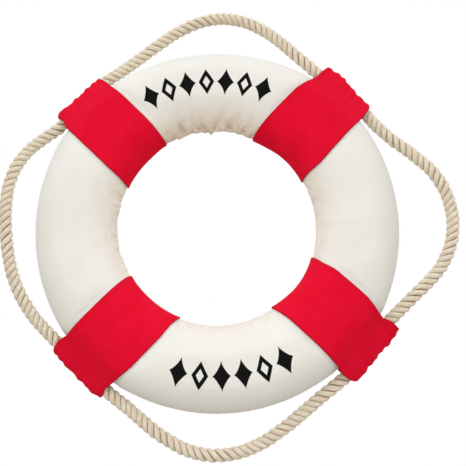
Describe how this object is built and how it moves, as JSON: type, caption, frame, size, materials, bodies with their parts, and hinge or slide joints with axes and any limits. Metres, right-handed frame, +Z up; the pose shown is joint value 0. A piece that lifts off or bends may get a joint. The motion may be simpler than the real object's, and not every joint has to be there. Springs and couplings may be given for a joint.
{
  "type": "life ring buoy",
  "caption": "Foam ring in a sewn canvas cover with cloth bands that hold a laid cotton rope in free loops round its rim.",
  "frame": {"origin": "centre of the ring, on its axis at the middle plane", "axes": "+Y along the ring's axis, towards its back; the front faces -Y; +Z up as it hangs; +X to the right seen from the front"},
  "size_m": [0.4395, 0.0586, 0.4399],
  "materials": {
    "core_foam": "matte",
    "cover_canvas": "matte",
    "seam_thread": "matte",
    "band_cotton": "matte",
    "band_thread": "matte",
    "rope_cotton": "matte",
    "rope_tape": "matte"
  },
  "bodies": {
    "ring": {"foam_core_front": "core_foam", "cover_front_panel": "cover_canvas", "foam_core_back": "core_foam", "cover_back_panel": "cover_canvas", "outer_seam_thread": "seam_thread", "inner_seam_thread": "seam_thread", "band_upper_right": "band_cotton", "band_thread_upper_right": "band_thread", "rope_held_upper_right": "rope_cotton", "band_upper_left": "band_cotton", "band_thread_upper_left": "band_thread", "rope_held_upper_left": "rope_cotton", "band_lower_left": "band_cotton", "band_thread_lower_left": "band_thread", "rope_held_lower_left": "rope_cotton", "band_lower_right": "band_cotton", "band_thread_lower_right": "band_thread", "rope_held_lower_right": "rope_cotton", "rope_end_tape": "rope_tape"},
    "top_rope_loop": {"rope_loop_top": "rope_cotton"},
    "right_rope_loop": {"rope_loop_right": "rope_cotton"},
    "bottom_rope_loop": {"rope_loop_bottom": "rope_cotton"},
    "left_rope_loop": {"rope_loop_left": "rope_cotton"}
  },
  "joints": [
    {"name": "top_loop_swing", "type": "hinge", "parent": "ring", "child": "top_rope_loop", "pos_m": [-0.1097, 0, 0.149], "axis": [0.9997, 0, 0.025], "range_deg": [-50, 50], "stiffness_Nm_per_rad": 0.05},
    {"name": "right_loop_swing", "type": "hinge", "parent": "ring", "child": "right_rope_loop", "pos_m": [0.1509, 0, 0.107], "axis": [0.0498, 0, -0.9988], "range_deg": [-50, 50], "stiffness_Nm_per_rad": 0.05},
    {"name": "bottom_loop_swing", "type": "hinge", "parent": "ring", "child": "bottom_rope_loop", "pos_m": [0.1167, 0, -0.1436], "axis": [-0.998, 0, -0.0628], "range_deg": [-50, 50], "stiffness_Nm_per_rad": 0.05},
    {"name": "left_loop_swing", "type": "hinge", "parent": "ring", "child": "left_rope_loop", "pos_m": [-0.1479, 0, -0.1111], "axis": [-0.0389, 0, 0.9992], "range_deg": [-50, 50], "stiffness_Nm_per_rad": 0.05}
  ]
}
